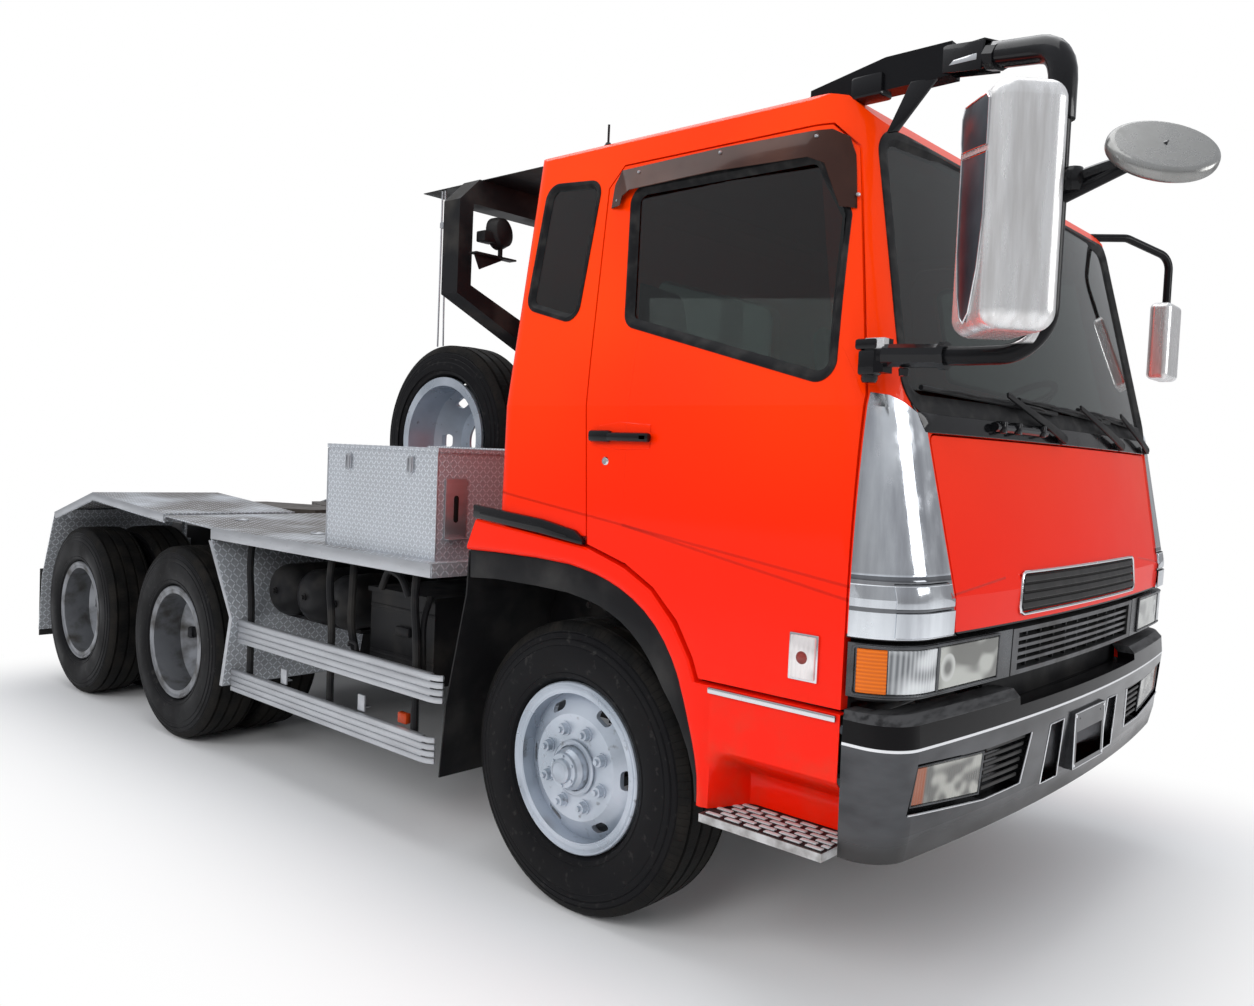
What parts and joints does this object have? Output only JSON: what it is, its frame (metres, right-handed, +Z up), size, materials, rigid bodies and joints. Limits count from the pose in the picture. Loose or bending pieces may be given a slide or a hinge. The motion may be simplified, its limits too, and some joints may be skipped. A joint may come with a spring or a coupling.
{
  "type": "six-by-four cab-over tractor unit",
  "caption": "Cab-over tractor unit with twin-wheel tandem, fifth wheel, tilting cab, chequer-plate deck, tool box and spare wheel.",
  "frame": {"origin": "on the ground, at the middle of the overall length and width", "axes": "+Z up, the truck faces -Y, its right side is -X"},
  "size_m": [2.9499, 6.8649, 2.7449],
  "materials": {
    "orange_paint": "glossy orange-red paint",
    "chrome": "polished chrome, lightly hazed",
    "frame_black": "satin black chassis paint, dusty",
    "engine_grey": "painted cast iron",
    "black_plastic": "moulded black plastic",
    "chequer_plate": "raised chequer plate, weathered",
    "bare_aluminium": "extruded aluminium, brushed",
    "rim_silver": "silver wheel paint",
    "tyre": "tyre rubber",
    "glass": "lightly tinted glass",
    "grille_grey": "metallic grey paint",
    "lamp": "clear lamp lens over bright reflector",
    "mirror_shell": "dulled chrome shell and black arms",
    "seat_cloth": "grey woven seat cloth",
    "canopy_sheet": "dark corrugated sheet"
  },
  "bodies": {
    "chassis": {"chassis_frame": "frame_black", "front_axle": "frame_black", "rear_axles": "frame_black", "suspension": "frame_black", "engine_block": "engine_grey", "bumper": "chrome", "front_fenders": "orange_paint", "mudguards": "black_plastic", "steps": "chequer_plate", "deck": "chequer_plate", "rear_wings": "chequer_plate", "side_guards": "bare_aluminium", "air_tanks": "frame_black", "battery_box": "frame_black", "fuel_tank": "bare_aluminium", "silencer": "frame_black", "fifth_wheel_base": "frame_black", "tool_box": "chequer_plate", "spare_rim": "rim_silver", "spare_tyre": "tyre", "canopy_frame": "frame_black", "canopy_sheet": "canopy_sheet"},
    "cab": {"cab_shell": "orange_paint", "lower_grille": "grille_grey", "headlamps": "lamp", "corner_panels": "chrome", "cab_glass": "glass", "seats": "seat_cloth", "dashboard": "black_plastic", "mirrors": "mirror_shell"},
    "front_lid": {"front_panel": "orange_paint"},
    "steering_wheel": {"steering_wheel": "black_plastic"},
    "door_right": {"door_right": "orange_paint", "door_glass_right": "glass"},
    "door_left": {"door_left": "orange_paint", "door_glass_left": "glass"},
    "coupling_plate": {"fifth_wheel_plate": "frame_black"},
    "box_lid": {"tool_box_lid": "chequer_plate"},
    "knuckle_right": {"knuckle_right": "frame_black"},
    "knuckle_left": {"knuckle_left": "frame_black"},
    "tie_rod": {"tie_rod": "frame_black"},
    "front_wheel_right": {"front_rim_right": "rim_silver", "front_tyre_right": "tyre"},
    "mid_wheel_right": {"mid_rims_right": "rim_silver", "mid_tyres_right": "tyre"},
    "rear_wheel_right": {"rear_rims_right": "rim_silver", "rear_tyres_right": "tyre"},
    "front_wheel_left": {"front_rim_left": "rim_silver", "front_tyre_left": "tyre"},
    "mid_wheel_left": {"mid_rims_left": "rim_silver", "mid_tyres_left": "tyre"},
    "rear_wheel_left": {"rear_rims_left": "rim_silver", "rear_tyres_left": "tyre"}
  },
  "joints": [
    {"name": "cab_tilt", "type": "hinge", "parent": "chassis", "child": "cab", "pos_m": [0, -2.8475, 0.96], "axis": [1, 0, 0], "range_deg": [0, 45]},
    {"name": "front_lid_hinge", "type": "hinge", "parent": "cab", "child": "front_lid", "pos_m": [0, -2.7835, 1.697], "axis": [-1, 0, 0], "range_deg": [0, 75]},
    {"name": "door_right_hinge", "type": "hinge", "parent": "cab", "child": "door_right", "pos_m": [-1.244, -2.6325, 1.3], "axis": [0, 0, 1], "range_deg": [0, 70]},
    {"name": "door_left_hinge", "type": "hinge", "parent": "cab", "child": "door_left", "pos_m": [1.244, -2.6325, 1.3], "axis": [0, 0, -1], "range_deg": [0, 70]},
    {"name": "steering_wheel_turn", "type": "hinge", "parent": "cab", "child": "steering_wheel", "pos_m": [0.69, -2.2475, 1.85], "axis": [0, 0.5501, 0.8351], "range_deg": [-425, 425]},
    {"name": "coupling_tilt", "type": "hinge", "parent": "chassis", "child": "coupling_plate", "pos_m": [0, 1.9325, 1.095], "axis": [1, 0, 0], "range_deg": [-10, 10]},
    {"name": "box_lid_hinge", "type": "hinge", "parent": "chassis", "child": "box_lid", "pos_m": [-0.654, -0.3875, 1.603], "axis": [0, 1, 0], "range_deg": [0, 70]},
    {"name": "steer_right", "type": "hinge", "parent": "chassis", "child": "knuckle_right", "pos_m": [-0.915, -1.5475, 0.512], "axis": [0, 0, 1], "range_deg": [-35, 35]},
    {"name": "steer_left", "type": "hinge", "parent": "chassis", "child": "knuckle_left", "pos_m": [0.915, -1.5475, 0.512], "axis": [0, 0, 1], "range_deg": [-35, 35]},
    {"name": "tie_rod_pivot", "type": "hinge", "parent": "knuckle_right", "child": "tie_rod", "pos_m": [-0.915, -1.3875, 0.372], "axis": [0, 0, 1], "range_deg": [-35, 35]},
    {"name": "front_spin_right", "type": "hinge", "parent": "knuckle_right", "child": "front_wheel_right", "pos_m": [-1.031, -1.5475, 0.512], "axis": [1, 0, 0], "continuous": true},
    {"name": "mid_spin_right", "type": "hinge", "parent": "chassis", "child": "mid_wheel_right", "pos_m": [-1.101, 1.3725, 0.512], "axis": [1, 0, 0], "continuous": true},
    {"name": "rear_spin_right", "type": "hinge", "parent": "chassis", "child": "rear_wheel_right", "pos_m": [-1.101, 2.6725, 0.512], "axis": [1, 0, 0], "continuous": true},
    {"name": "front_spin_left", "type": "hinge", "parent": "knuckle_left", "child": "front_wheel_left", "pos_m": [1.031, -1.5475, 0.512], "axis": [1, 0, 0], "continuous": true},
    {"name": "mid_spin_left", "type": "hinge", "parent": "chassis", "child": "mid_wheel_left", "pos_m": [1.101, 1.3725, 0.512], "axis": [1, 0, 0], "continuous": true},
    {"name": "rear_spin_left", "type": "hinge", "parent": "chassis", "child": "rear_wheel_left", "pos_m": [1.101, 2.6725, 0.512], "axis": [1, 0, 0], "continuous": true}
  ],
  "couplings": [
    {"joint": "steer_left", "follows": "steer_right", "ratio": 1},
    {"joint": "tie_rod_pivot", "follows": "steer_right", "ratio": -1},
    {"joint": "steering_wheel_turn", "follows": "steer_right", "ratio": 12}
  ]
}
